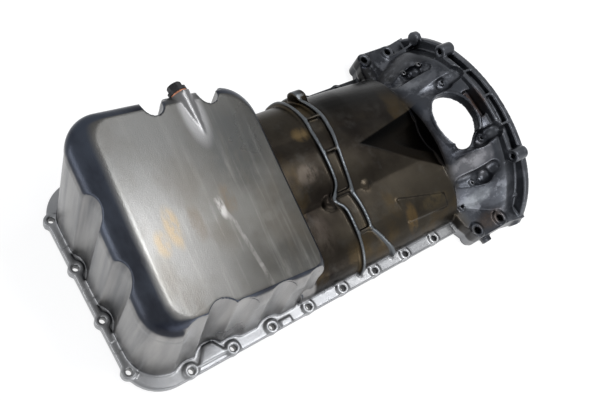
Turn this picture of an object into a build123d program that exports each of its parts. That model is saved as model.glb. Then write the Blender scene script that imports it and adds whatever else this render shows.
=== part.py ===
from build123d import *
import math
import os

# Cast aluminium engine oil pan: a deep sump at the front, a shallow ribbed trough behind it
# and the lower part of the clutch housing at the rear, with the drain plug and its seal ring.
# Frame: +X to the clutch housing, +Z away from the engine block, the gasket face on z = 0.
# Values called "distance" are measured along X from the front bolt row.

# ---- gasket rail ----
bolt_pitch = 48.5
first_side_bolt = 53.0
side_bolt_y = 112.9
front_bolt_inner_y = 29.4
front_bolt_outer_y = 85.4
rail_half_width = 119.5
rail_thickness = 10.0
rail_front_overhang = 4.5
rail_corner_radius = 42.0
front_pad_first_y = 15.0
front_pad_pitch = 29.0
front_pad_count = 3
front_pad_length = 17.0
front_pad_width = 6.5
land_start = 62.0
land_end = 95.0
land_tip_start = 75.0
land_tip_end = 85.0
land_tip_y = 97.0
side_pad_start = 160.0
side_pad_end = 174.0
side_pad_width = 8.0
bolt_boss_radius = 7.5
bolt_boss_height = 12.0
bolt_hole_radius = 3.3
wall = 5.0

# ---- sump ----
sump_near_y = 107.0
sump_far_y = 108.5
sump_front = 3.5
sump_rear = 211.0
near_draft = 0.130
far_draft = 0.015
rear_draft = 0.070
sump_depth = 150.0
floor_slope_across = 0.25
floor_slope_along = -0.20
front_floor_radius = 28.0
near_floor_radius = 7.0
far_floor_radius = 12.0
rear_floor_radius = 5.0
front_corner_radius = 36.0
rear_corner_radius = 15.0
rear_far_corner_radius = 34.0

# ---- flutes in the sump walls, for socket room at the bolts ----
near_flute_radius = 27.0
near_flute_depth = 4.5
recess_distance = 78.0
recess_radius = 19.5
recess_depth = 12.0
front_flute_radius = 22.0
front_flute_depth = 7.0
front_flute_bend = 85.0
front_flute_turn = 55.0
first_notch_distance = 99.5
second_notch_distance = 163.5
notch_radius = 10.5
notch_depth = 17.0

# ---- trough ----
trough_overlap = 21.0
trough_length = 219.0
trough_middle = 300.0
trough_near_y = 106.0
trough_far_y = 109.0
trough_base = 8.0
trough_arcs = 7
near_height_start = 52.0
near_height_middle = 48.5
near_height_end = 52.0
far_height_start = 68.0
far_height_middle = 63.0
far_height_end = 54.0
near_arch_power = 2.3
far_arch_power = 3.6
far_arch_power_end = 2.3
step_y = -20.0
step_half = 13.0

# ---- ribs over the trough ----
front_rib_distance = 275.0
rib_pitch = 17.0
rib_thickness = 4.0
rib_height = 5.0
tie_count = 4
tie_first_y = -72.0
tie_pitch = 46.0
tie_thickness = 3.0
tie_height = 4.0
tail_end_distance = 326.0
tail_end_y = -109.0
tail_thickness = 3.0
blister_distance = 264.0
blister_y = -27.0
blister_z = 51.0
blister_radius = 13.0
edge_bump_start = 289.0
edge_bump_end = 304.0
edge_bump_y = 101.0
edge_bump_z = 56.0
edge_bump_radius = 9.0

# ---- scoop in the trough, ahead of the housing window ----
scoop_tip_distance = 322.0
scoop_tip_y = 14.0
scoop_tip_z = 84.0
scoop_tip_radius = 6.0
scoop_end_z = 92.0
scoop_end_radius = 42.0

# ---- clutch housing ----
crank_drop = 52.0
cone_start_radius = 122.0
cone_length = 67.0
face_radius = 150.0
housing_wall = 6.0
housing_opening_radius = 140.0
housing_inner_half = 118.0
window_from_cone = 33.0
window_y = -6.0
window_half_x = 23.0
window_half_y = 36.0
window_lip = 3.5
window_lip_height = 3.0

# ---- bolt pockets sunk in the cone ----
inner_pocket_y = 42.0
inner_pocket_floor = 74.0
inner_pocket_end = 51.0
outer_pocket_y = 80.0
outer_pocket_floor = 49.0
outer_pocket_end = 44.0
pocket_radius = 10.0
pocket_length = 44.0
pocket_wall = 4.0
pocket_hole_radius = 1.8
pocket_hole_depth = 2.5
pocket_hole_setback = 4.0

# ---- mating flange of the housing ----
flange_plate = 8.5
flange_strip = 6.0
groove_length = 11.0
groove_radius = 146.0
groove_web_pitch = 40.0
groove_web = 3.0
lobe_y = 125.0
lobe_z = 55.5
lobe_radius = 9.0
lobe_setback = 6.0
gusset_thickness = 3.0
far_gusset_y = 122.0
far_gusset_length = 36.0
far_gusset_height = 25.0
near_gusset_y = -117.0
near_gusset_length = 14.0
near_gusset_height = 19.0
flange_top = 106.0
flange_knee_y = 75.0
flange_knee_z = 91.0
flange_side_y = 122.0
flange_side_z = 58.0
flange_foot_y = 149.0
flange_foot_z = 14.0
flange_half_width = 146.5
face_bolt_y = 80.0
face_bolt_drop = 15.0
face_bolt_radius = 3.3
face_boss_radius = 8.5
face_boss_length = 20.0

# ---- ears beside the housing, placed from the start of the cone ----
ear_inner_y = 92.0
ear_front = -4.0
ear_shoulder = 0.0
ear_shoulder_y = 120.0
ear_side_start = 11.0
ear_side_y = 142.0
ear_height = 27.0
ear_boss_height = 29.5
ear_boss_radius = 9.5
ear_hole_radius = 4.5
ear_front_bolt = 12.5
ear_bolt_pitch = 41.8
ear_bolt_y = 131.7
small_boss_y = -97.0
small_boss_radius = 5.5
small_boss_hole = 2.2
stub_start = 30.0
stub_width = 10.0
stub_reach = 7.0
stub_height = 11.0

# ---- drain boss, plug and seal ring ----
drain_distance = 128.0
drain_face_y = 106.0
drain_z = 143.5
drain_lean = -0.115
drain_tilt = 0.125
drain_boss_radius = 11.0
drain_boss_length = 46.0
drain_boss_taper = 12.5
drain_thread_radius = 6.0
thread_clearance = 0.1
drain_bore_depth = 17.0
seal_ring_radius = 8.6
seal_ring_clearance = 0.3
seal_ring_thickness = 1.5
plug_shank_length = 14.0
plug_collar_radius = 9.5
plug_collar_thickness = 3.5
plug_hex_across_flats = 13.0
plug_hex_height = 6.0
plug_tip_chamfer = 1.0
plug_head_chamfer = 1.2

cone_start = sump_rear + trough_length
trough_start = sump_rear - trough_overlap
trough_end = cone_start + 2.0
face_start = cone_start + cone_length
back_distance = face_start + flange_strip + groove_length + flange_plate
rail_end = cone_start + 16.0
bolt_rows = 1 + math.floor((cone_start - first_side_bolt) / bolt_pitch)
front_row = (bolt_boss_radius - back_distance) / 2
flange_back = front_row + back_distance
ear_bolts = (cone_start + ear_front_bolt, cone_start + ear_front_bolt + ear_bolt_pitch)
crank_axis = Axis((0, 0, -crank_drop), (1, 0, 0))
cut_margin = 1.0
far_reach = 400.0


def at(distance):
    """X of a distance from the front bolt row."""
    return front_row + distance


# ---- plain solids ----


def upright(x, y, radius, low, high):
    """Cylinder along Z."""
    return Pos(x, y, low) * Cylinder(
        radius, high - low, align=(Align.CENTER, Align.CENTER, Align.MIN)
    )


def lying(x0, x1, y, z, radius):
    """Cylinder along X."""
    return extrude(Plane(origin=(x0, y, z), z_dir=(1, 0, 0)) * Circle(radius), amount=x1 - x0)


def block(x0, x1, y0, y1, z0, z1):
    return Pos((x0 + x1) / 2, (y0 + y1) / 2, (z0 + z1) / 2) * Box(x1 - x0, y1 - y0, z1 - z0)


def about_crank(corners):
    """Solid of revolution about the crankshaft axis, from (x, radius) corners."""
    points = [(x, 0, radius - crank_drop) for x, radius in corners]
    return revolve(make_face(Polyline(*points, close=True)), crank_axis)


# ---- gasket rail ----


def rail_bolt_places():
    side_rows = [at(first_side_bolt + bolt_pitch * n) for n in range(bolt_rows)]
    places = []
    for side in (-1, 1):
        places += [(x, side * side_bolt_y) for x in side_rows]
        places += [(front_row, side * front_bolt_inner_y), (front_row, side * front_bolt_outer_y)]
    return places


def rail():
    """Flat rail round the pan with a raised boss at every bolt."""
    plate = block(
        at(-rail_front_overhang), at(rail_end), -rail_half_width, rail_half_width, 0, rail_thickness
    )
    front_corners = plate.edges().filter_by(Axis.Z).group_by(Axis.X)[0]
    plate = fillet(front_corners, rail_corner_radius)
    for x, y in rail_bolt_places():
        plate += upright(x, y, bolt_boss_radius, 0, bolt_boss_height)
    return plate + rail_pads()


def rail_pads():
    """Machined pads level with the bolt bosses."""
    front = at(-rail_front_overhang)
    pads = []
    for side in (-1, 1):
        for n in range(front_pad_count):
            y = side * (front_pad_first_y + front_pad_pitch * n)
            pads.append(block(
                front, front + front_pad_width,
                y - front_pad_length / 2, y + front_pad_length / 2, 0, bolt_boss_height,
            ))
    pads.append(block(
        at(side_pad_start), at(side_pad_end),
        -rail_half_width, side_pad_width - rail_half_width, 0, bolt_boss_height,
    ))
    land = Polyline(
        (at(land_start), -side_bolt_y),
        (at(land_tip_start), -land_tip_y),
        (at(land_tip_end), -land_tip_y),
        (at(land_end), -side_bolt_y),
        close=True,
    )
    pads.append(extrude(make_face(land), amount=bolt_boss_height, dir=(0, 0, 1)))
    return pads


# ---- sump ----


def floor_z(x, y):
    """Outside height of the floor, which slopes across and along the pan."""
    return sump_depth + floor_slope_along * (x - front_row) + floor_slope_across * y


def round_in(radius, below):
    """How far a rounded floor edge stands in at a distance below the floor."""
    if below >= radius:
        return 0.0
    return radius - math.sqrt(radius**2 - (radius - below) ** 2)


def wall_lean(x, y):
    """Lean of the sump wall in X and Y for each millimetre of height."""
    across = (y + sump_near_y) / (sump_near_y + sump_far_y)
    along = (x - at(sump_front)) / (sump_rear - sump_front)
    return -rear_draft * along, near_draft * (1 - across) - far_draft * across


def sump_place(x, y, below):
    """Point of the wall over a place at the gasket face, at a distance below the floor."""
    lean_x, lean_y = wall_lean(x, y)
    height = floor_z(x, y) - below
    u = x + lean_x * height
    v = y + lean_y * height
    return Vector(u, v, floor_z(u, v) - below)


def sump_section(below, inset, at_gasket=False):
    """Rounded rectangle, level at the gasket face and parallel to the floor above it."""
    near = inset - sump_near_y + round_in(near_floor_radius, below)
    far = sump_far_y - inset - round_in(far_floor_radius, below)
    tuck = round_in(front_floor_radius, below)
    front = at(sump_front) + inset + tuck
    rear = at(sump_rear) - inset - round_in(rear_floor_radius, below)
    front_r = front_corner_radius - inset - tuck / 2
    rear_r = rear_corner_radius - inset
    rear_far_r = rear_far_corner_radius - inset
    corners = [
        (front + front_r, near + front_r, front_r, 180),
        (rear - rear_r, near + rear_r, rear_r, 270),
        (rear - rear_far_r, far - rear_far_r, rear_far_r, 0),
        (front + front_r, far - front_r, front_r, 90),
    ]
    arcs = []
    for x, y, radius, start in corners:
        turns = [math.radians(start + turn) for turn in (0, 45, 90)]
        places = [(x + radius * math.cos(t), y + radius * math.sin(t)) for t in turns]
        if at_gasket:
            arcs.append(ThreePointArc(*[Vector(u, v, 0) for u, v in places]))
        else:
            arcs.append(ThreePointArc(*[sump_place(u, v, below + inset) for u, v in places]))
    sides = [Line(arcs[n - 1] @ 1, arcs[n] @ 0) for n in range(len(arcs))]
    return Face(Wire([edge for pair in zip(sides, arcs) for edge in pair]))


def sump_solid():
    """Outside of the drafted wall and the rounded floor, without the flutes."""
    sections = [sump_section(front_floor_radius * share, 0.0) for share in (1.0, 0.3, 0.0)]
    base = sump_section(front_floor_radius, 0.0, at_gasket=True)
    return loft([base, sections[0]], ruled=True) + loft(sections)


def sump_hollow():
    """Inside of the sump, with straight bands for its roundings."""
    shares = (1.0, 0.6, 0.3, 0.1, 0.0)
    sections = [sump_section(front_floor_radius * share, wall) for share in shares]
    base = sump_section(front_floor_radius, wall, at_gasket=True)
    return loft([base, *sections], ruled=True) - flutes(wall)


def flute(x, y, out_x, out_y, radius, depth, grow):
    """Round flute along a drafted wall: (x, y) is on the wall, out_x and out_y point outwards."""
    lean_x, lean_y = wall_lean(x, y)
    back = radius - depth
    origin = (x + back * out_x, y + back * out_y, 0)
    run = Plane(origin=origin, z_dir=(lean_x, lean_y, 1))
    return extrude(run * Circle(radius + grow), amount=sump_depth + rail_half_width)


def front_flute(y, grow):
    """Upright flute of the front wall that bends over the rounding and fades out of it."""
    x = at(sump_front) - front_flute_radius + front_flute_depth
    bend_z = floor_z(x, y) - front_floor_radius
    run = upright(x, y, front_flute_radius + grow, 0, bend_z)
    section = Pos(x, y, bend_z) * Circle(front_flute_radius + grow)
    bend_axis = Axis((x + front_flute_bend, y, bend_z), (0, 1, 0))
    return run + revolve(section, axis=bend_axis, revolution_arc=front_flute_turn)


def flutes(grow):
    """Everything that is sunk in the sump walls."""
    rows = [at(first_side_bolt + bolt_pitch * n) for n in range(bolt_rows)]
    tools = [
        flute(x, -sump_near_y, 0, -1, near_flute_radius, near_flute_depth, grow)
        for x in rows if x < at(sump_rear)
    ]
    tools.append(
        flute(at(recess_distance), -sump_near_y, 0, -1, recess_radius, recess_depth, grow)
    )
    tools += [front_flute(side * front_bolt_inner_y, grow) for side in (-1, 1)]
    for distance in (first_notch_distance, second_notch_distance):
        x = at(distance)
        tools.append(flute(x, sump_far_y, 0, 1, notch_radius, notch_depth, grow))
        mouth = sump_far_y - notch_depth + notch_radius
        tools.append(block(
            x - notch_radius - grow, x + notch_radius + grow,
            mouth, mouth + far_reach, 0, far_reach,
        ))
    return tools


# ---- trough ----


def ease(share):
    """Smooth 0 to 1."""
    share = min(1.0, max(0.0, share))
    return share * share * (3 - 2 * share)


def along_trough(distance, start, middle, end):
    """Value at a distance along the trough, eased between three stations."""
    if distance < trough_middle:
        share = ease((distance - trough_start) / (trough_middle - trough_start))
        return start + (middle - start) * share
    share = ease((distance - trough_middle) / (trough_end - trough_middle))
    return middle + (end - middle) * share


def trough_face(distance, outset):
    """Arch across the trough: outset grows it, a negative outset makes the inside."""
    near_h = along_trough(distance, near_height_start, near_height_middle, near_height_end)
    far_h = along_trough(distance, far_height_start, far_height_middle, far_height_end)
    far_n = along_trough(distance, far_arch_power, far_arch_power, far_arch_power_end)
    x = at(distance)
    steps = 2 * trough_arcs
    points = []
    for n in range(steps + 1):
        turn = math.pi * n / steps
        side = -math.cos(turn)
        half = (trough_near_y if side < 0 else trough_far_y) + outset
        power = near_arch_power if side < 0 else far_n
        y = half * math.copysign(abs(side) ** (2 / power), side)
        rise = ease((y - step_y + step_half) / (2 * step_half))
        height = near_h + (far_h - near_h) * rise + outset
        lift = max(0.0, math.sin(turn)) ** (2 / power)
        points.append(Vector(x, y, trough_base + height * lift))
    arch = [ThreePointArc(*points[n:n + 3]) for n in range(0, steps, 2)]
    foot = Polyline(points[-1], (x, points[-1].Y, 0), (x, points[0].Y, 0), points[0])
    return Face(Wire([*arch, *foot.edges()]))


def trough_solid(start, end, outset):
    stations = 4
    distances = [start + (end - start) * n / (stations - 1) for n in range(stations)]
    return loft([trough_face(distance, outset) for distance in distances], ruled=True)


def arch_over_trough(start, end, height):
    return extrude(trough_face(start, height), amount=end - start, dir=(1, 0, 0))


def ribs():
    """Two ribs that follow the arch, the ties between them and the tail of the rear one."""
    front = front_rib_distance - rib_thickness / 2
    rear = front + rib_pitch
    solids = [arch_over_trough(front, front + rib_thickness, rib_height)]
    rear_rib = arch_over_trough(rear, rear + rib_thickness, rib_height)
    solids += (rear_rib & block(
        at(rear), at(rear + rib_thickness), tie_first_y - tie_thickness, far_reach, 0, far_reach
    )).solids()
    bridge = arch_over_trough(front, rear, tie_height)
    for n in range(tie_count):
        y = tie_first_y + tie_pitch * n
        slab = block(
            at(front), at(rear), y - tie_thickness / 2, y + tie_thickness / 2, 0, far_reach
        )
        solids += (bridge & slab).solids()
    return solids + rear_rib_tail(rear + rib_thickness / 2)


def rear_rib_tail(start):
    """Thin ridge that runs from the rear rib askew to the rail."""
    run_x = tail_end_distance - start
    run_y = tail_end_y - tie_first_y
    turn = math.degrees(math.atan2(run_y, run_x))
    middle = Pos(at(start) + run_x / 2, tie_first_y + run_y / 2, far_reach / 2)
    slab = middle * Rot(0, 0, turn) * Box(math.hypot(run_x, run_y), tail_thickness, far_reach)
    return (arch_over_trough(start, tail_end_distance, tie_height) & slab).solids()


def trough_bumps():
    """Blister ahead of the front rib and the bump at the far edge, under the ribs."""
    blister = Pos(at(blister_distance), blister_y, blister_z) * Sphere(blister_radius)
    bump = lying(
        at(edge_bump_start), at(edge_bump_end), edge_bump_y, edge_bump_z, edge_bump_radius
    )
    return [blister, bump]


def scoop(grow):
    """Tapered hollow that runs along the trough to the window."""
    tip = Plane(origin=(at(scoop_tip_distance), scoop_tip_y, scoop_tip_z), z_dir=(1, 0, 0))
    end = Plane(origin=(at(trough_end), window_y, scoop_end_z), z_dir=(1, 0, 0))
    return loft([tip * Circle(scoop_tip_radius + grow), end * Circle(scoop_end_radius + grow)])


# ---- clutch housing ----


def cone_corners(inset):
    return [
        (at(cone_start), cone_start_radius - inset),
        (at(face_start), face_radius - inset),
    ]


def housing():
    """Cone and drum round the crankshaft axis, cut at the gasket face."""
    profile = [(at(cone_start), 0), *cone_corners(0), (flange_back, face_radius), (flange_back, 0)]
    return about_crank(profile) & block(
        at(cone_start) - cut_margin, flange_back, -far_reach, far_reach, 0, far_reach
    )


def window(grow):
    """Upright oval through the cone."""
    plan = Ellipse(window_half_x + grow, window_half_y + grow)
    centre = Plane(origin=(at(cone_start + window_from_cone), window_y, 0))
    return extrude(centre * plan, amount=far_reach)


def window_rim():
    """Raised lip round the window that follows the cone."""
    skin = about_crank(cone_corners(window_lip) + list(reversed(cone_corners(-window_lip_height))))
    return skin & (window(window_lip) - window(-window_lip))


def pocket_places():
    """Y, floor height and X of the round end of each pocket."""
    places = []
    for side in (-1, 1):
        places.append((
            side * inner_pocket_y, inner_pocket_floor, at(cone_start + inner_pocket_end)
        ))
        places.append((
            side * outer_pocket_y, outer_pocket_floor, at(cone_start + outer_pocket_end)
        ))
    return places


def pocket(y, floor, end, grow):
    """Bullet-shaped pocket for a bolt head, open upwards and to the front."""
    radius = pocket_radius + grow
    axis_z = floor + pocket_radius
    start = end - pocket_length
    bullet = lying(start, end, y, axis_z, radius) + Pos(end, y, axis_z) * Sphere(radius)
    above = upright(end, y, radius, axis_z, axis_z + far_reach)
    above += block(start, end, y - radius, y + radius, axis_z, axis_z + far_reach)
    return bullet + above


def pockets(grow):
    return [pocket(y, floor, end, grow) for y, floor, end in pocket_places()]


def pocket_holes():
    return [
        upright(end - pocket_hole_setback, y, pocket_hole_radius, floor - pocket_hole_depth, floor + 1)
        for y, floor, end in pocket_places()
    ]


def housing_hollow():
    """Room for the clutch, open to the gasket face and to the rear."""
    opening = housing_opening_radius
    profile = [
        (at(cone_start + housing_wall), 0),
        (at(cone_start + housing_wall), cone_start_radius - housing_wall),
        (at(face_start), opening),
        (flange_back + cut_margin, opening),
        (flange_back + cut_margin, 0),
    ]
    hollow = about_crank(profile) & block(
        at(cone_start), flange_back + cut_margin,
        -housing_inner_half, housing_inner_half, -cut_margin, far_reach,
    )
    return hollow - pockets(pocket_wall)


def flange_face(x):
    """Outline of the mating flange: arched crown, round shoulders and two feet."""
    knees = [(x, side * flange_knee_y, flange_knee_z) for side in (-1, 1)]
    sides = [(x, side * flange_side_y, flange_side_z) for side in (-1, 1)]
    feet = [(x, side * flange_foot_y, flange_foot_z) for side in (-1, 1)]
    base = [(x, side * flange_half_width, 0) for side in (-1, 1)]
    crown = ThreePointArc(knees[0], (x, 0, flange_top), knees[1])
    far = ThreePointArc(knees[1], sides[1], feet[1])
    near = ThreePointArc(feet[0], sides[0], knees[0])
    foot = Polyline(feet[1], base[1], base[0], feet[0])
    return Face(Wire([crown, far, *foot.edges(), near]))


def face_bolt_places():
    return [(side * face_bolt_y, flange_top - face_bolt_drop) for side in (-1, 1)]


def flange():
    """Mating plate, the bolting strip ahead of it and the webbed groove between them."""
    strip_start = at(face_start)
    plate_start = flange_back - flange_plate
    plate = extrude(flange_face(plate_start), amount=flange_plate, dir=(1, 0, 0))
    plate += lying(plate_start - lobe_setback, flange_back - lobe_setback, lobe_y, lobe_z, lobe_radius)
    strip = extrude(flange_face(strip_start), amount=flange_back - strip_start, dir=(1, 0, 0))
    strip &= block(strip_start, flange_back, -face_bolt_y, face_bolt_y, 0, far_reach)
    groove = about_crank([
        (strip_start + flange_strip, groove_radius),
        (strip_start + flange_strip, far_reach),
        (plate_start, far_reach),
        (plate_start, groove_radius),
    ])
    webs = math.floor(face_bolt_y / groove_web_pitch)
    for n in range(-webs, webs + 1):
        y = groove_web_pitch * n
        groove -= block(
            strip_start, flange_back, y - groove_web / 2, y + groove_web / 2, 0, far_reach
        )
    strip -= groove
    for y, z in face_bolt_places():
        strip += lying(strip_start, strip_start + face_boss_length, y, z, face_boss_radius)
    return plate + strip


def gusset(y, length, height):
    """Triangular web that props the mating plate on an ear."""
    root = flange_back - flange_plate
    corners = [(root - length, ear_height), (root, ear_height + height), (root + 1, ear_height)]
    corners += [(root + 1, ear_height - 1), (root - length, ear_height - 1)]
    points = [(x, y - gusset_thickness / 2, z) for x, z in corners]
    return extrude(make_face(Polyline(*points, close=True)), amount=gusset_thickness, dir=(0, 1, 0))


def ear(side):
    """Side block that carries the large bolts beside the housing."""
    outline = [
        (at(cone_start + ear_front), side * ear_inner_y),
        (at(cone_start + ear_shoulder), side * ear_shoulder_y),
        (at(cone_start + ear_side_start), side * ear_side_y),
        (at(face_start), side * ear_side_y),
        (flange_back, side * flange_half_width),
        (flange_back, side * ear_inner_y),
    ]
    solid = extrude(make_face(Polyline(*outline, close=True)), amount=ear_height, dir=(0, 0, 1))
    for distance in ear_bolts:
        solid += upright(at(distance), side * ear_bolt_y, ear_boss_radius, 0, ear_boss_height)
    return solid


def ears():
    """Both ears, with the small boss and the stub of the near one."""
    near = ear(-1) + upright(
        at(ear_bolts[0]), small_boss_y, small_boss_radius, 0, ear_boss_height
    )
    stub = at(cone_start + stub_start)
    near += block(
        stub, stub + stub_width, -ear_side_y - stub_reach, -ear_side_y + stub_reach, 0, stub_height
    )
    near += gusset(near_gusset_y, near_gusset_length, near_gusset_height)
    far = ear(1) + gusset(far_gusset_y, far_gusset_length, far_gusset_height)
    return [near, far]


# ---- drain ----


def drain_plane(offset):
    """Plane across the drain axis, offset outwards from the face of the boss."""
    face = Plane(
        origin=(at(drain_distance), drain_face_y, drain_z), z_dir=(drain_lean, 1, drain_tilt)
    )
    return face.offset(offset)


def drain_cylinder(radius, start, end):
    return extrude(drain_plane(start) * Circle(radius), amount=end - start)


def drain_boss():
    return extrude(
        drain_plane(0) * Circle(drain_boss_radius), amount=-drain_boss_length, taper=drain_boss_taper
    )


def seal_ring():
    ring = drain_plane(0) * Circle(seal_ring_radius)
    hole = drain_plane(0) * Circle(drain_thread_radius + seal_ring_clearance)
    return extrude(ring - hole, amount=seal_ring_thickness)


def drain_cone(radius, end_radius, start, end):
    """Cone frustum on the drain axis."""
    sections = [drain_plane(start) * Circle(radius), drain_plane(end) * Circle(end_radius)]
    return loft(sections)


def drain_plug():
    """Hexagon-headed plug with a collar that presses on the seal ring."""
    shank_radius = drain_thread_radius - thread_clearance
    tip = seal_ring_thickness - plug_shank_length
    shank = drain_cylinder(shank_radius, tip + plug_tip_chamfer, seal_ring_thickness)
    shank += drain_cone(shank_radius - plug_tip_chamfer, shank_radius, tip, tip + plug_tip_chamfer)
    collar_top = seal_ring_thickness + plug_collar_thickness
    head_top = collar_top + plug_hex_height
    corner_radius = plug_hex_across_flats / math.sqrt(3)
    hexagon = RegularPolygon(plug_hex_across_flats / 2, 6, major_radius=False)
    head = extrude(drain_plane(collar_top) * hexagon, amount=plug_hex_height)
    crown = drain_cylinder(corner_radius, collar_top, head_top - plug_head_chamfer)
    crown += drain_cone(
        corner_radius, corner_radius - plug_head_chamfer, head_top - plug_head_chamfer, head_top
    )
    collar = drain_cylinder(plug_collar_radius, seal_ring_thickness, collar_top)
    return shank + collar + (head & crown)


# ---- casting ----


def bolt_holes():
    tools = [
        upright(x, y, bolt_hole_radius, -cut_margin, bolt_boss_height + cut_margin)
        for x, y in rail_bolt_places()
    ]
    top = ear_boss_height + cut_margin
    for side in (-1, 1):
        for distance in ear_bolts:
            tools.append(
                upright(at(distance), side * ear_bolt_y, ear_hole_radius, -cut_margin, top)
            )
    tools.append(upright(at(ear_bolts[0]), small_boss_y, small_boss_hole, ear_height / 2, top))
    for y, z in face_bolt_places():
        tools.append(lying(
            at(face_start) - cut_margin, flange_back + cut_margin, y, z, face_bolt_radius
        ))
    return tools


def pan_casting():
    body = rail() + ears()
    body += housing()
    body += flange()
    body += window_rim()
    body += ribs()
    body += trough_bumps()
    body += trough_solid(trough_start, trough_end, 0.0) - scoop(0)
    body += sump_solid() - flutes(0)
    body += drain_boss()
    body -= pockets(0)
    body -= pocket_holes()
    body -= window(0)
    body -= sump_hollow()
    body -= trough_solid(trough_start - 2 * wall, trough_end - wall, -wall) - scoop(wall)
    body -= housing_hollow()
    body -= drain_cylinder(drain_boss_radius, 0, drain_boss_length)
    body -= drain_cylinder(drain_thread_radius, -drain_bore_depth, cut_margin)
    body -= bolt_holes()
    return body


def build():
    os.makedirs("parts", exist_ok=True)
    nodes = {
        "pan_casting": pan_casting(),
        "drain_plug": drain_plug(),
        "drain_seal_ring": seal_ring(),
    }
    for name, solid in nodes.items():
        export_step(solid, f"parts/{name}.step")


if __name__ == "__main__":
    build()
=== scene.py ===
import math

import bmesh
import bpy
from mathutils import Matrix, Vector


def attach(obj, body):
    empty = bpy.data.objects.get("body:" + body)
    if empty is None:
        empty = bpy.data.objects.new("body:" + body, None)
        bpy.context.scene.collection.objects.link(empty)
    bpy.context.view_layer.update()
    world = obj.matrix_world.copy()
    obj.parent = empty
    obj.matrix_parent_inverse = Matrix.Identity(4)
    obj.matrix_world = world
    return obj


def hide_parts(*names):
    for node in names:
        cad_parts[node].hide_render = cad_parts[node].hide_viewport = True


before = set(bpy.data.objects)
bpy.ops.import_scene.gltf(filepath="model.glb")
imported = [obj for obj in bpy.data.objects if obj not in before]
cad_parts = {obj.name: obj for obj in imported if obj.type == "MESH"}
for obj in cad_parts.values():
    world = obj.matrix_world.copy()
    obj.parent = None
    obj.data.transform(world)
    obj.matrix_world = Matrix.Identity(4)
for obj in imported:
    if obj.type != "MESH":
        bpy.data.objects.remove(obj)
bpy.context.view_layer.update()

# Lengths and places are in metres and colours are linear red, green and blue, unless said.
MM = 0.001

# ---- camera, at the view of the reference frame ----
FOCAL_PIXELS = 701.7135
FRAME_WIDTH_PIXELS = 600
SENSOR_WIDTH_MM = 36.0
CLIP_START = 0.01
CAMERA_PLACE = Vector((-0.40202, -0.17612, 0.69287))
CAMERA_RIGHT = Vector((0.79163, -0.50933, 0.33750))
CAMERA_DOWN = Vector((-0.35529, -0.83311, -0.42391))

# ---- studio ----
# name, place, what the lamp points at, its size, and its power in watts
LAMPS = [
    ("key_overhead", (0.40, -0.30, 1.27), (-0.2, -0.03, 0.15), (0.25, 0.34), 5),
    ("glow_rear", (0.55, 0.15, 1.1), (-0.16, 0, 0.14), (0.5, 0.5), 3),
    ("front_soft", (-1.5, 0.1, 0.35), (-0.2, 0, 0.06), (1.2, 0.5), 6),
    ("near_soft", (0.1, -1.4, 0.45), (0, 0, 0.05), (1.4, 0.4), 8),
]
WORLD_COLOUR = (0.75, 0.8, 0.9)
WORLD_STRENGTH = 0.35
WHITE = (1.0, 1.0, 1.0)
REFLECTED_SKY = 0.8
FLOOR_HALF = 3.0
FLOOR_DROP = 0.0005
FLOOR_COLOUR = (0.85, 0.85, 0.85)
FLOOR_GLOW = 0.86
SHADOW_VEIL = (0.3, 0.3, 0.3)

# ---- casting skin ----
WELD = 0.005 * MM
VOXEL = 1.15 * MM
SMOOTH_ROUNDS = 5
SMOOTH_FACTOR = 0.5
SKIN_TRIANGLES = 190000
RING_STEPS = 24
BALL_STEPS = 16

# ---- small forms of the casting, in millimetres ----
POCKET_RADIUS = 9.5
POCKET_OPENING = 40
POCKET_ROUTES = [
    [(182, -76.5, 56.5), (196, -78, 59), (214, -80, 62), (225, -79, 72)],
    [(182, 78, 56.5), (196, 79, 59), (214, 80, 62.5), (225, 79, 72)],
    [(184, -43, 77), (222, -42, 86.5), (236, -42, 94)],
    [(182, 46, 76), (222, 44, 86.5), (236, 45, 94)],
]
SCOOP_FLOOR = [(71, 16.5, 70.7), (172, 34, 61), (172, -46, 55.5), (172, 12, 57)]
SCOOP_OPENING = 25
# x and floor height of the flange pocket, at its front and at its rear
FLANGE_POCKET_ENDS = [(230.5, 88), (239.3, 90)]
FLANGE_POCKET_HALF = 19
FLANGE_POCKET_TOP = 110
PANEL_CORNERS = [(88, -57, 52), (155, -74.5, 47.8), (156, -89.5, 39.2), (94, -85.7, 40.8)]
PANEL_NORMAL = (0, -0.45, 0.89)
PANEL_RISE = 2.0
BUMP_CENTRE = (57, -21.6, 45.6)
BUMP_RADIUS = 16
STUDS = [(225, 85, 63), (228, 46, 75), (229, -40, 75), (200, -80, 49), (207, 86, 51)]
STUD_RADIUS = 3.8
STUD_HEIGHT = 2.5
STUD_SINK = 3
STUD_HOLE_RADIUS = 1.7
STUD_HOLE_SINK = 1
STUD_HOLE_LENGTH = 20

# ---- the two ribs over the trough, in millimetres ----
FRONT_RIB_X = 17.5
REAR_RIB_X = 34.5
REAR_RIB_TAIL = [(34.5, -72), (68.5, -109)]
# how far a rib swings along x, at which y, and over what width
FRONT_RIB_SWINGS = [(7, 70, 35), (-9, -29, 9), (2, -70, 40)]
REAR_RIB_SWINGS = [(14, 60, 40), (5, -60, 35)]
RIB_HALF = 4
RIB_FADE = 34
RIB_CREST = 1.3
RIB_CREST_EDGE = 1.0
RIB_CREST_BOTTOM = 15
RAIL_TOP = 12

# ---- noises of the casting: scale, detail, roughness, stretch along the axes ----
NOISES = {
    "cloud": (9.0, 5.0, 0.55, None),
    "patch": (22.0, 4.0, 0.55, (1.0, 0.6, 1.0)),
    "blotch": (45.0, 5.0, 0.65, None),
    "grain": (900.0, 3.0, 0.55, None),
    "tears": (130.0, 4.0, 0.7, (1.0, 0.35, 1.0)),
    "streak": (1.0, 4.0, 0.55, (170.0, 5.0, 40.0)),
    "runs": (1.0, 3.0, 0.55, (90.0, 90.0, 5.0)),
}
# how far the painted shade in hollows and creases reaches
CREASE_REACH = 0.007
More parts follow.
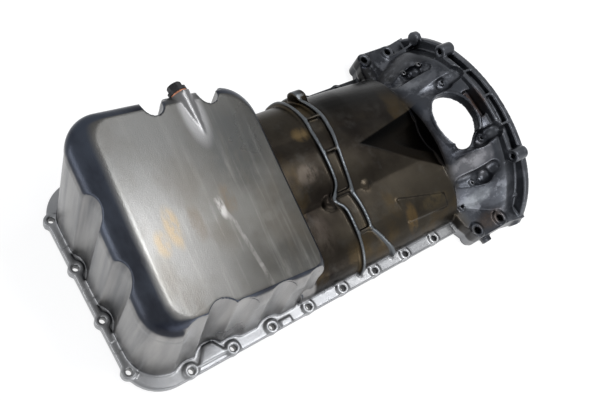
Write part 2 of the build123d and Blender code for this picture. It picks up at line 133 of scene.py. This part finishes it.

# ---- colours of the casting ----
# A limit: the field it reads, where it starts and where it is full.
# A layer: a limit, the share of the layer and its colour.
# A spot, for a stain and for painted light: its place and half size seen from above, its share
# and its colour.
# painted reflection: the sump floor is lighter at the front and darker towards the rear and the
# far side
SUMP_FLOOR_FRONT = (0.20, 0.20, 0.198)
SUMP_FLOOR_LAYERS = [
    (("x", -0.21, -0.10), 1.0, (0.085, 0.082, 0.074)),
    (("cloud", 0.4, 0.6), 0.5, (0.19, 0.188, 0.18)),
    (("streak", 0.5, 0.75), 0.25, (0.34, 0.335, 0.32)),
    (("patch", 0.45, 0.7), 0.4, (0.09, 0.075, 0.055)),
    (("y", -0.02, 0.075), 0.72, (0.045, 0.046, 0.046)),
]
SUMP_FLOOR_STAINS_AND_HIGHLIGHT = [
    ((-0.1955, -0.009), (0.010, 0.024), 0.75, (0.27, 0.21, 0.13)),
    ((-0.2110, -0.019), (0.009, 0.015), 0.7, (0.26, 0.205, 0.13)),
    ((-0.1720, -0.012), (0.010, 0.022), 0.45, (0.13, 0.105, 0.08)),
    ((-0.1310, 0.000), (0.010, 0.018), 0.5, (0.14, 0.105, 0.07)),
    # painted highlight: a bright spot where the crease starts
    ((-0.1413, -0.006), (0.005, 0.013), 0.9, (0.42, 0.41, 0.40)),
    # lighter and darker patches
    ((-0.0960, -0.028), (0.014, 0.006), 0.5, (0.16, 0.155, 0.145)),
    ((-0.1000, 0.045), (0.040, 0.050), 0.45, (0.050, 0.054, 0.056)),
    ((-0.0900, -0.075), (0.035, 0.030), 0.4, (0.055, 0.056, 0.055)),
]
# painted highlight: a light line along the crease across the sump floor
CREASE = [(-0.1446, 0.002), (-0.1346, -0.022), (-0.1269, -0.067), (-0.1226, -0.093)]
CREASE_HALF = 0.003
CREASE_HIGHLIGHT_SHARE = 0.4
CREASE_HIGHLIGHT_COLOUR = (0.34, 0.33, 0.32)
FACES_UP = [("facing_z", 0.55, 0.8)]
TEAR_LIMITS = (0.32, 0.58)

WALL_DARK = (0.10, 0.103, 0.11)
WALL_LAYERS = [
    (("runs", 0.3, 0.7), 1.0, (0.24, 0.235, 0.23)),
    # painted light: walls that face the near side are lighter
    (("facing_y", -0.45, -0.75), 0.4, (0.40, 0.385, 0.37)),
]

# lighter grey on top of the drain boss, and the room that the rounding's painted reflection
# leaves it
BOSS_PLACE = (-0.127, 0.085)
BOSS_TOP_SIZE = (0.016, 0.040)
BOSS_TOP_SHARE = 0.8
BOSS_COLOUR = (0.20, 0.20, 0.205)
BOSS_HEIGHT = [("z", 0.10, 0.12)]
BOSS_ROOM_SIZE = (0.030, 0.060)

# painted reflection: blue-black on the rounding between walls and floor, on the front, the near,
# the far and the rear side
ROUNDINGS = [
    [("facing_x", 0.0, -0.16), ("facing_z", 0.24, 0.42)],
    [("facing_y", -0.42, -0.55), ("facing_z", 0.58, 0.70)],
    [("facing_y", 0.0, 0.15), ("facing_z", 0.15, 0.35)],
    [("facing_x", 0.40, 0.50), ("facing_z", 0.25, 0.45)],
]
ROUNDING_REFLECTION_SHARE = 0.95
ROUNDING_REFLECTION_DARK = (0.010, 0.012, 0.020)
ROUNDING_REFLECTION_LAYERS = [(("patch", 0.35, 0.65), 1.0, (0.040, 0.048, 0.066))]

TROUGH = [("x", -0.052, -0.046), ("x", 0.19, 0.17), ("z", 0.0125, 0.016)]
OIL_DARK = (0.010, 0.008, 0.007)
OIL_LAYERS = [
    (("cloud", 0.35, 0.65), 1.0, (0.036, 0.031, 0.024)),
    (("patch", 0.5, 0.68), 0.6, (0.060, 0.042, 0.020)),
    (("blotch", 0.5, 0.7), 0.35, (0.050, 0.048, 0.044)),
]
TROUGH_STAINS = [
    ((0.010, 0.052), (0.014, 0.012), 0.7, (0.115, 0.080, 0.038)),
    ((-0.012, 0.006), (0.018, 0.014), 0.55, (0.085, 0.072, 0.060)),
    ((0.100, -0.083), (0.010, 0.020), 0.6, (0.110, 0.072, 0.030)),
    ((0.140, -0.078), (0.030, 0.010), 0.5, (0.080, 0.062, 0.034)),
    ((0.057, -0.030), (0.009, 0.010), 0.35, (0.105, 0.085, 0.062)),
    ((-0.020, -0.060), (0.014, 0.030), 0.4, (0.060, 0.050, 0.042)),
]
# painted reflection: the far side of the trough is painted near black
FAR_TROUGH = [("y", 0.045, 0.080), ("x", 0.03, 0.06)]
FAR_TROUGH_SHARE = 0.9
FAR_TROUGH_REFLECTION_DARK = (0.002, 0.002, 0.002)
# painted shade: the dark wedge that widens towards the window, with its tip and the ends of its
# two edges
WEDGE_TIP = (0.071, 0.0165)
WEDGE_FAR_END = (0.172, 0.035)
WEDGE_NEAR_END = (0.172, -0.048)
WEDGE = [("past_near_edge", -0.0005, 0.0025), ("past_far_edge", 0.0005, -0.0015)]
WEDGE_PAINTED_SHADE = (0.0006, 0.0006, 0.0006)
WEDGE_SHADE_LAYERS = [(("past_far_edge", -0.004, -0.022), 1.0, (0.007, 0.0055, 0.004))]
RIB_SHARE = 0.8
RIB_COLOUR = (0.13, 0.145, 0.16)

# painted shade: the housing is painted dark, with painted light on the faces where the light
# falls
HOUSING = [("x", 0.168, 0.19), ("z", 0.002, 0.006)]
HOUSING_SHADE_DARK = (0.005, 0.0055, 0.008)
HOUSING_LAYERS = [
    (("cloud", 0.42, 0.6), 1.0, (0.045, 0.049, 0.058)),
    (("x", 0.232, 0.24), 0.6, (0.075, 0.08, 0.09)),
    (("blotch", 0.5, 0.6), 0.55, (0.13, 0.137, 0.155)),
]
# the first five are painted light on lit faces, the last two are brown stains
HOUSING_LIT_FACES_AND_STAINS = [
    ((0.196, -0.060), (0.034, 0.012), 0.85, (0.30, 0.30, 0.32)),
    ((0.222, -0.060), (0.010, 0.022), 0.6, (0.22, 0.22, 0.24)),
    ((0.200, 0.066), (0.026, 0.012), 0.6, (0.20, 0.21, 0.23)),
    ((0.200, -0.098), (0.024, 0.009), 0.5, (0.14, 0.15, 0.16)),
    ((0.205, 0.000), (0.018, 0.016), 0.3, (0.10, 0.11, 0.13)),
    ((0.235, 0.000), (0.008, 0.024), 0.8, (0.060, 0.026, 0.012)),
    ((0.212, -0.128), (0.030, 0.014), 0.6, (0.060, 0.042, 0.030)),
]
# a mottle that breaks up the painted light and the stains
MOTTLE_LIMITS = (0.4, 0.55)
MOTTLE_MORE = 0.6
MOTTLE_LEAST = 0.4

RAIL = [("z", 0.0135, 0.0125), ("x", 0.19, 0.17)]
RAIL_DARK = (0.16, 0.17, 0.19)
RAIL_LIGHT = (0.34, 0.34, 0.34)
# painted shade along the far side of the rail
FAR_RAIL = [("y", 0.08, 0.1), ("x", -0.06, -0.04)]
FAR_RAIL_PAINTED_SHADE = (0.03, 0.032, 0.036)

# painted shade in the hollows and creases, and lighter edges that are worn metal and painted
# highlight
CREASE_SHADE_AND_EDGE_LAYERS = [
    (("openness", 0.82, 0.45), 0.85, (0.008, 0.008, 0.010)),
    (("pointiness", 0.478, 0.42), 0.8, (0.008, 0.009, 0.012)),
    (("pointiness", 0.53, 0.60), 0.6, (0.32, 0.32, 0.33)),
]

CASTING_METALLIC = 0.85
OILY_METALLIC_MORE = 0.15
CASTING_ROUGHNESS = 0.2
CLOUD_ROUGHNESS_MORE = 0.2
STREAK_HEIGHT = 0.6

# ---- drain plug and seal ring ----
PLUG_DARK = (0.006, 0.006, 0.007)
PLUG_WORN = (0.03, 0.03, 0.033)
PLUG_METALLIC = 0.6
PLUG_ROUGHNESS = 0.3
PLUG_ROUGHNESS_MORE = 0.3
SEAL_DARK = (0.42, 0.13, 0.07)
SEAL_BRIGHT = (0.72, 0.36, 0.22)
SEAL_METALLIC = 0.5
SEAL_ROUGHNESS = 0.45


def opaque(colour):
    return (*colour, 1.0)


def new_piece(name, data):
    piece = bpy.data.objects.new(name, data)
    bpy.context.scene.collection.objects.link(piece)
    return piece


# ---- camera and studio ----


def camera():
    data = bpy.data.cameras.new("camera")
    data.sensor_width = SENSOR_WIDTH_MM
    data.lens = FOCAL_PIXELS * SENSOR_WIDTH_MM / FRAME_WIDTH_PIXELS
    data.clip_start = CLIP_START
    view = new_piece("camera", data)
    back = CAMERA_DOWN.cross(CAMERA_RIGHT)
    rotation = Matrix((CAMERA_RIGHT, -CAMERA_DOWN, back)).transposed().to_4x4()
    view.matrix_world = Matrix.Translation(CAMERA_PLACE) @ rotation
    bpy.context.scene.camera = view


def area_light(name, place, target, size, power):
    data = bpy.data.lights.new(name, "AREA")
    data.shape = "RECTANGLE"
    data.size, data.size_y = size
    data.energy = power
    lamp = new_piece(name, data)
    lamp.location = place
    aim = Vector(target) - Vector(place)
    lamp.rotation_euler = aim.to_track_quat("-Z", "Y").to_euler()


def shown_rays(tree):
    """1 for the rays that show the background: camera, glossy and transmission."""
    rays = tree.nodes.new("ShaderNodeLightPath")
    total = rays.outputs["Is Camera Ray"]
    for name in ("Is Glossy Ray", "Is Transmission Ray"):
        either = tree.nodes.new("ShaderNodeMath")
        either.operation = "MAXIMUM"
        tree.links.new(total, either.inputs[0])
        tree.links.new(rays.outputs[name], either.inputs[1])
        total = either.outputs[0]
    return total


def split_rays(tree, lighting, shown, output):
    """One shader for the light on the pan, another for the rays that show the background."""
    mix = tree.nodes.new("ShaderNodeMixShader")
    out = tree.nodes.new(output)
    tree.links.new(shown_rays(tree), mix.inputs["Fac"])
    tree.links.new(lighting.outputs[0], mix.inputs[1])
    tree.links.new(shown.outputs[0], mix.inputs[2])
    tree.links.new(mix.outputs[0], out.inputs["Surface"])


def sky():
    """Dim blue light, and a sky that is seen white and reflected a little darker."""
    world = bpy.data.worlds.new("studio")
    bpy.context.scene.world = world
    world.use_nodes = True
    tree = world.node_tree
    tree.nodes.clear()
    dim = tree.nodes.new("ShaderNodeBackground")
    dim.inputs["Color"].default_value = opaque(WORLD_COLOUR)
    dim.inputs["Strength"].default_value = WORLD_STRENGTH
    white = tree.nodes.new("ShaderNodeBackground")
    white.inputs["Color"].default_value = opaque(WHITE)
    rays = tree.nodes.new("ShaderNodeLightPath")
    level = tree.nodes.new("ShaderNodeMapRange")
    level.inputs["To Min"].default_value = REFLECTED_SKY
    tree.links.new(rays.outputs["Is Camera Ray"], level.inputs["Value"])
    tree.links.new(level.outputs[0], white.inputs["Strength"])
    split_rays(tree, dim, white, "ShaderNodeOutputWorld")


def floor():
    """White floor that keeps the pan's shadow: a glow, and a thin veil that the lamps light."""
    mesh = bpy.data.meshes.new("studio_floor")
    half = FLOOR_HALF
    corners = [(-half, -half, 0), (half, -half, 0), (half, half, 0), (-half, half, 0)]
    mesh.from_pydata(corners, [], [(0, 1, 2, 3)])
    ground = new_piece("studio_floor", mesh)
    ground.location.z = -FLOOR_DROP
    material = bpy.data.materials.new("floor_white")
    material.use_nodes = True
    tree = material.node_tree
    tree.nodes.clear()
    paint = tree.nodes.new("ShaderNodeBsdfDiffuse")
    paint.inputs["Color"].default_value = opaque(FLOOR_COLOUR)
    glow = tree.nodes.new("ShaderNodeEmission")
    glow.inputs["Strength"].default_value = FLOOR_GLOW
    veil = tree.nodes.new("ShaderNodeBsdfDiffuse")
    veil.inputs["Color"].default_value = opaque(SHADOW_VEIL)
    shown = tree.nodes.new("ShaderNodeAddShader")
    tree.links.new(glow.outputs[0], shown.inputs[0])
    tree.links.new(veil.outputs[0], shown.inputs[1])
    split_rays(tree, paint, shown, "ShaderNodeOutputMaterial")
    mesh.materials.append(material)


# ---- materials ----


class Graph:
    """Short-hand for building a node material. Its fields are what the colours follow."""

    def __init__(self, name):
        self.material = bpy.data.materials.new(name)
        self.material.use_nodes = True
        self.nodes = self.material.node_tree.nodes
        self.links = self.material.node_tree.links
        self.nodes.clear()
        self.shader = self.nodes.new("ShaderNodeBsdfPrincipled")
        out = self.nodes.new("ShaderNodeOutputMaterial")
        self.links.new(self.shader.outputs[0], out.inputs["Surface"])
        self.geometry = self.nodes.new("ShaderNodeNewGeometry").outputs
        self.fields = {}

    def set(self, node, key, value):
        if isinstance(value, bpy.types.NodeSocket):
            self.links.new(value, node.inputs[key])
        else:
            node.inputs[key].default_value = value

    def math(self, operation, a, b, clamp=False):
        node = self.nodes.new("ShaderNodeMath")
        node.operation = operation
        node.use_clamp = clamp
        self.set(node, 0, a)
        self.set(node, 1, b)
        return node.outputs[0]

    def plus(self, a, b):
        return self.math("ADD", a, b)

    def minus(self, a, b):
        return self.math("SUBTRACT", a, b)

    def times(self, a, b):
        return self.math("MULTIPLY", a, b)

    def squares(self, a, b):
        return self.plus(self.math("POWER", a, 2.0), self.math("POWER", b, 2.0))

    def axes(self, vector):
        node = self.nodes.new("ShaderNodeSeparateXYZ")
        self.set(node, "Vector", vector)
        return list(node.outputs)

    def noise(self, scale, detail, roughness=0.55, stretch=None):
        place = self.geometry["Position"]
        if stretch:
            mapping = self.nodes.new("ShaderNodeMapping")
            self.set(mapping, "Vector", place)
            self.set(mapping, "Scale", stretch)
            place = mapping.outputs[0]
        node = self.nodes.new("ShaderNodeTexNoise")
        self.set(node, "Vector", place)
        self.set(node, "Scale", scale)
        self.set(node, "Detail", detail)
        self.set(node, "Roughness", roughness)
        return node.outputs[0]

    def ramp(self, value, start, full):
        """0 before the start, 1 past full, smooth between. Either may be the higher."""
        node = self.nodes.new("ShaderNodeMapRange")
        node.interpolation_type = "SMOOTHSTEP"
        self.set(node, "Value", value)
        self.set(node, "From Min", start)
        self.set(node, "From Max", full)
        return node.outputs[0]

    def mix(self, share, under, over):
        """One colour over another."""
        node = self.nodes.new("ShaderNodeMix")
        node.data_type = "RGBA"
        self.set(node, "Factor", share)
        for key, colour in (("A", under), ("B", over)):
            self.set(node, key, opaque(colour) if isinstance(colour, tuple) else colour)
        return node.outputs["Result"]

    def bump(self, height, strength, distance):
        node = self.nodes.new("ShaderNodeBump")
        self.set(node, "Strength", strength)
        self.set(node, "Distance", distance)
        self.set(node, "Height", height)
        return node.outputs[0]

    def past(self, point):
        """How far a place lies past a point along x and along y."""
        return self.minus(self.fields["x"], point[0]), self.minus(self.fields["y"], point[1])

    def spot(self, place, size, share):
        """Soft oval of some half size, seen from above."""
        over_x, over_y = self.past(place)
        across = self.math("DIVIDE", over_x, size[0])
        along = self.math("DIVIDE", over_y, size[1])
        return self.times(self.ramp(self.squares(across, along), 1.0, 0.1), share)

    def beside(self, start, end):
        """How far a place lies to the left of a line, seen from above."""
        run_x, run_y = end[0] - start[0], end[1] - start[1]
        length = math.hypot(run_x, run_y)
        over_x, over_y = self.past(start)
        return self.minus(self.times(over_y, run_x / length), self.times(over_x, run_y / length))

    def stroke(self, start, end, half_width):
        """1 on a line between two points, 0 beyond its width, seen from above."""
        run_x, run_y = end[0] - start[0], end[1] - start[1]
        over_x, over_y = self.past(start)
        along = self.plus(self.times(over_x, run_x), self.times(over_y, run_y))
        along = self.math("DIVIDE", along, run_x ** 2 + run_y ** 2, clamp=True)
        off_x = self.minus(over_x, self.times(along, run_x))
        off_y = self.minus(over_y, self.times(along, run_y))
        return self.ramp(self.squares(off_x, off_y), half_width ** 2, 0.0)

    def limit(self, field, start, full):
        return self.ramp(self.fields[field], start, full)

    def region(self, limits):
        """1 where every limit is full, 0 where any of them hasn't started."""
        inside = self.limit(*limits[0])
        for limit in limits[1:]:
            inside = self.times(inside, self.limit(*limit))
        return inside

    def layered(self, colour, layers):
        for limit, share, over in layers:
            colour = self.mix(self.times(self.limit(*limit), share), colour, over)
        return colour

    def spotted(self, colour, spots, broken):
        """Spots over a colour, broken up by a noise: the stains of a list, and its painted
        light.
        """
        for place, size, share, stain in spots:
            shown = self.times(self.spot(place, size, share), broken)
            colour = self.mix(shown, colour, stain)
        return colour


def casting_graph():
    """The casting's material, with every field that its colours follow."""
    g = Graph("cast_aluminium")
    fields = g.fields
    fields["x"], fields["y"], fields["z"] = g.axes(g.geometry["Position"])
    facing = g.axes(g.geometry["Normal"])
    fields["facing_x"], fields["facing_y"], fields["facing_z"] = facing
    for name, noise in NOISES.items():
        fields[name] = g.noise(*noise)
    # openness: ambient occlusion, for painted shade in hollows and creases
    around = g.nodes.new("ShaderNodeAmbientOcclusion")
    g.set(around, "Distance", CREASE_REACH)
    fields["openness"] = around.outputs["AO"]
    fields["pointiness"] = g.geometry["Pointiness"]
    fields["past_near_edge"] = g.beside(WEDGE_TIP, WEDGE_NEAR_END)
    fields["past_far_edge"] = g.beside(WEDGE_TIP, WEDGE_FAR_END)
    return g


def sump_floor_colour(g, torn):
    """Bare grey, brushed across, with stains; painted reflection makes it lighter at the front
    and darker towards the rear and the far side, and painted highlight lights a spot and a line
    along the crease.
    """
    colour = g.layered(SUMP_FLOOR_FRONT, SUMP_FLOOR_LAYERS)
    colour = g.spotted(colour, SUMP_FLOOR_STAINS_AND_HIGHLIGHT, torn)
    # painted highlight along the crease
    for start, end in zip(CREASE, CREASE[1:]):
        line = g.times(g.stroke(start, end, CREASE_HALF), torn)
        colour = g.mix(g.times(line, CREASE_HIGHLIGHT_SHARE), colour, CREASE_HIGHLIGHT_COLOUR)
    return colour


def sump_colour(g, torn):
    """Walls with runs down the draft, the floor, and a blue-black painted reflection on the
    rounding between them.
    """
    walls = g.layered(WALL_DARK, WALL_LAYERS)
    colour = g.mix(g.region(FACES_UP), walls, sump_floor_colour(g, torn))
    boss_top = g.spot(BOSS_PLACE, BOSS_TOP_SIZE, BOSS_TOP_SHARE)
    colour = g.mix(g.times(boss_top, g.region(BOSS_HEIGHT)), colour, BOSS_COLOUR)
    off_boss = g.minus(1.0, g.spot(BOSS_PLACE, BOSS_ROOM_SIZE, 1.0))
    reflected_blue_black = g.layered(ROUNDING_REFLECTION_DARK, ROUNDING_REFLECTION_LAYERS)
    # painted reflection: blue-black on the roundings
    for limits in ROUNDINGS:
        band = g.times(g.region(limits), off_boss)
        colour = g.mix(g.times(band, ROUNDING_REFLECTION_SHARE), colour, reflected_blue_black)
    return colour


def trough_colour(g, torn):
    """Brown oil with painted shade nearly black in the wedge before the window, a painted dark
    reflection on the far side, and light rib crests.
    """
    colour = g.spotted(g.layered(OIL_DARK, OIL_LAYERS), TROUGH_STAINS, torn)
    far = g.times(g.region(FAR_TROUGH), FAR_TROUGH_SHARE)
    colour = g.mix(far, colour, FAR_TROUGH_REFLECTION_DARK)
    # painted shade in the wedge before the window
    colour = g.mix(g.region(WEDGE), colour, g.layered(WEDGE_PAINTED_SHADE, WEDGE_SHADE_LAYERS))
    crest = g.nodes.new("ShaderNodeAttribute")
    crest.attribute_name = "rib_top"
    return g.mix(g.times(crest.outputs["Fac"], RIB_SHARE), colour, RIB_COLOUR)


def housing_colour(g):
    """Painted shade: dark blue-grey, with painted light on the faces where the light falls and
    two brown stains, all mottled.
    """
    mottle = g.plus(g.times(g.limit("blotch", *MOTTLE_LIMITS), MOTTLE_MORE), MOTTLE_LEAST)
    return g.spotted(g.layered(HOUSING_SHADE_DARK, HOUSING_LAYERS), HOUSING_LIT_FACES_AND_STAINS, mottle)


def rail_colour(g):
    """Light grey, varied by a noise, with painted shade along the far side."""
    colour = g.mix(g.fields["cloud"], RAIL_DARK, RAIL_LIGHT)
    return g.mix(g.region(FAR_RAIL), colour, FAR_RAIL_PAINTED_SHADE)


def cast_aluminium():
    g = casting_graph()
    torn = g.limit("tears", *TEAR_LIMITS)
    in_trough = g.region(TROUGH)
    colour = g.mix(in_trough, sump_colour(g, torn), trough_colour(g, torn))
    colour = g.mix(g.region(HOUSING), colour, housing_colour(g))
    colour = g.mix(g.region(RAIL), colour, rail_colour(g))
    metallic = g.plus(g.times(in_trough, OILY_METALLIC_MORE), CASTING_METALLIC)
    roughness = g.times(g.fields["cloud"], CLOUD_ROUGHNESS_MORE)
    height = g.plus(g.fields["grain"], g.times(g.fields["streak"], STREAK_HEIGHT))
    g.set(g.shader, "Base Color", g.layered(colour, CREASE_SHADE_AND_EDGE_LAYERS))
    g.set(g.shader, "Metallic", metallic)
    g.set(g.shader, "Roughness", g.plus(roughness, CASTING_ROUGHNESS))
    g.set(g.shader, "Normal", g.bump(height, strength=0.25, distance=0.0005))
    return g.material


def black_steel():
    g = Graph("plug_steel")
    worn = g.noise(scale=400.0, detail=3.0)
    roughness = g.plus(g.times(worn, PLUG_ROUGHNESS_MORE), PLUG_ROUGHNESS)
    g.set(g.shader, "Base Color", g.mix(worn, PLUG_DARK, PLUG_WORN))
    g.set(g.shader, "Metallic", PLUG_METALLIC)
    g.set(g.shader, "Roughness", roughness)
    g.set(g.shader, "Normal", g.bump(worn, strength=0.15, distance=0.0003))
    return g.material


def dull_copper():
    g = Graph("seal_copper")
    stain = g.noise(scale=300.0, detail=4.0)
    g.set(g.shader, "Base Color", g.mix(stain, SEAL_DARK, SEAL_BRIGHT))
    g.set(g.shader, "Metallic", SEAL_METALLIC)
    g.set(g.shader, "Roughness", SEAL_ROUGHNESS)
    g.set(g.shader, "Normal", g.bump(stain, strength=0.2, distance=0.0002))
    return g.material


# ---- closed bodies: points and sizes in millimetres, meshes in metres ----


def closed(points):
    """Convex body round some points."""
    work = bmesh.new()
    for point in points:
        work.verts.new(Vector(point) * MM)
    bmesh.ops.convex_hull(work, input=work.verts)
    loose = [vertex for vertex in work.verts if not vertex.link_faces]
    bmesh.ops.delete(work, geom=loose, context="VERTS")
    mesh = bpy.data.meshes.new("body")
    work.to_mesh(mesh)
    work.free()
    return mesh


def raised(points, rise):
    return [(x, y, z + rise) for x, y, z in points]


def pillar(foot, radius, height):
    """Upright cylinder that stands on its foot."""
    x, y, z = foot
    turns = [math.tau * n / RING_STEPS for n in range(RING_STEPS)]
    rim = [(x + radius * math.cos(turn), y + radius * math.sin(turn)) for turn in turns]
    return closed([(u, v, w) for u, v in rim for w in (z, z + height)])


def ball_points(centre, radius):
    x, y, z = centre
    points = []
    for n in range(1, BALL_STEPS):
        tilt = math.pi * n / BALL_STEPS
        for m in range(2 * BALL_STEPS):
            turn = math.pi * m / BALL_STEPS
            points.append((
                x + radius * math.sin(tilt) * math.cos(turn),
                y + radius * math.sin(tilt) * math.sin(turn),
                z + radius * math.cos(tilt),
            ))
    return points


def pocket_cuts():
    """Pockets that run from the front of the housing up to the flange."""
    cuts = []
    for route in POCKET_ROUTES:
        for start, end in zip(route, route[1:]):
            low = ball_points(start, POCKET_RADIUS) + ball_points(end, POCKET_RADIUS)
            cuts.append(closed(low + raised(low, POCKET_OPENING)))
    return cuts


def scoop_cut():
    """Long flat wedge in the trough, before the window."""
    return closed(SCOOP_FLOOR + raised(SCOOP_FLOOR, SCOOP_OPENING))


def flange_pocket_cut():
    """Pocket between the window and the flange."""
    return closed([
        (x, y, z)
        for x, bottom in FLANGE_POCKET_ENDS
        for y in (-FLANGE_POCKET_HALF, FLANGE_POCKET_HALF)
        for z in (bottom, FLANGE_POCKET_TOP)
    ])


def studs():
    return [
        pillar((x, y, z - STUD_SINK), STUD_RADIUS, STUD_SINK + STUD_HEIGHT) for x, y, z in STUDS
    ]


def stud_holes():
    return [
        pillar((x, y, z - STUD_HOLE_SINK), STUD_HOLE_RADIUS, STUD_HOLE_LENGTH)
        for x, y, z in STUDS
    ]


def raised_panel():
    """Low panel on the near slope of the trough."""
    up = Vector(PANEL_NORMAL) * PANEL_RISE
    corners = [Vector(corner) for corner in PANEL_CORNERS]
    return closed([corner + up for corner in corners] + [corner - up for corner in corners])


def round_bump():
    """Round bump behind the ribs."""
    return closed(ball_points(BUMP_CENTRE, BUMP_RADIUS))


# ---- ribs, in millimetres ----


def smooth_share(share):
    """0 up to 0, 1 from 1 on, smooth between."""
    share = min(1.0, max(0.0, share))
    return share * share * (3 - 2 * share)


def swing(y, swings):
    return sum(reach * math.exp(-((y - centre) / width) ** 2) for reach, centre, width in swings)


def rib_shift(x, y):
    """How far a rib stands off the straight line that it has in the solid."""
    front = swing(y, FRONT_RIB_SWINGS)
    rear = swing(y, REAR_RIB_SWINGS)
    share = min(1.0, max(0.0, (x - FRONT_RIB_X) / (REAR_RIB_X - FRONT_RIB_X)))
    fade_in = smooth_share((x - FRONT_RIB_X + RIB_FADE) / (RIB_FADE - RIB_HALF))
    fade_out = smooth_share((REAR_RIB_X + RIB_FADE - x) / (RIB_FADE - RIB_HALF))
    return (front + (rear - front) * share) * fade_in * fade_out


def rib_top(x, y, z):
    """1 on the crest of a rib or of the rear rib's tail, before the ribs are bent."""
    if z <= RIB_CREST_BOTTOM:
        return 0.0
    start, end = (Vector(point) for point in REAR_RIB_TAIL)
    off = abs(x - FRONT_RIB_X)
    if y > start.y:
        off = min(off, abs(x - REAR_RIB_X))
    run = end - start
    step = Vector((x, y)) - start
    share = min(1.0, max(0.0, step.dot(run) / run.length_squared))
    off = min(off, (step - run * share).length)
    return smooth_share((RIB_CREST + RIB_CREST_EDGE - off) / RIB_CREST_EDGE)


def bend_ribs(mesh):
    """Bends the ribs and marks their crests for the material."""
    crest = mesh.attributes.new("rib_top", "FLOAT", "POINT")
    for vertex in mesh.vertices:
        x, y, z = vertex.co / MM
        crest.data[vertex.index].value = rib_top(x, y, z)
        lift = smooth_share((z - RAIL_TOP) / RAIL_TOP)
        vertex.co.x += rib_shift(x, y) * lift * MM


# ---- the casting's skin ----


def apply_modifiers(piece):
    graph = bpy.context.evaluated_depsgraph_get()
    mesh = bpy.data.meshes.new_from_object(piece.evaluated_get(graph))
    piece.modifiers.clear()
    piece.data = mesh


def weld(mesh):
    work = bmesh.new()
    work.from_mesh(mesh)
    bmesh.ops.remove_doubles(work, verts=work.verts, dist=WELD)
    work.to_mesh(mesh)
    work.free()


def carve(piece, bodies):
    """Cuts closed bodies out of a piece, one after another."""
    for body in bodies:
        cutter = new_piece("cutter", body)
        cut = piece.modifiers.new("cut", "BOOLEAN")
        cut.operation = "DIFFERENCE"
        cut.solver = "MANIFOLD"
        cut.object = cutter
        apply_modifiers(piece)
        bpy.data.objects.remove(cutter)


def add_bodies(mesh, bodies):
    whole = bmesh.new()
    for part in (mesh, *bodies):
        whole.from_mesh(part)
    whole.to_mesh(mesh)
    whole.free()


def remesh(piece):
    voxels = piece.modifiers.new("voxels", "REMESH")
    voxels.mode = "VOXEL"
    voxels.voxel_size = VOXEL
    apply_modifiers(piece)


def soften(piece):
    smooth = piece.modifiers.new("smooth", "SMOOTH")
    smooth.iterations = SMOOTH_ROUNDS
    smooth.factor = SMOOTH_FACTOR
    apply_modifiers(piece)


def reduce_triangles(piece):
    triangles = 2 * len(piece.data.polygons)
    fewer = piece.modifiers.new("fewer", "DECIMATE")
    fewer.ratio = min(1.0, SKIN_TRIANGLES / triangles)
    apply_modifiers(piece)


def dress(piece, material):
    piece.data.materials.clear()
    piece.data.materials.append(material)


def casting_skin():
    """The casting with the soft edges of its mould and the small forms of its faces."""
    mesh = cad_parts["pan_casting"].data.copy()
    weld(mesh)
    skin = new_piece("pan_skin", mesh)
    carve(skin, [*pocket_cuts(), scoop_cut(), flange_pocket_cut()])
    add_bodies(skin.data, [*studs(), raised_panel(), round_bump()])
    remesh(skin)
    carve(skin, stud_holes())
    soften(skin)
    bend_ribs(skin.data)
    reduce_triangles(skin)
    for face in skin.data.polygons:
        face.use_smooth = True
    dress(skin, cast_aluminium())
    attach(skin, "root")
    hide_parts("pan_casting")


bpy.context.scene.view_settings.view_transform = "Standard"
camera()
for lamp in LAMPS:
    area_light(*lamp)
sky()
floor()
casting_skin()
dress(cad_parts["drain_plug"], black_steel())
dress(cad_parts["drain_seal_ring"], dull_copper())

bpy.context.view_layer.update()
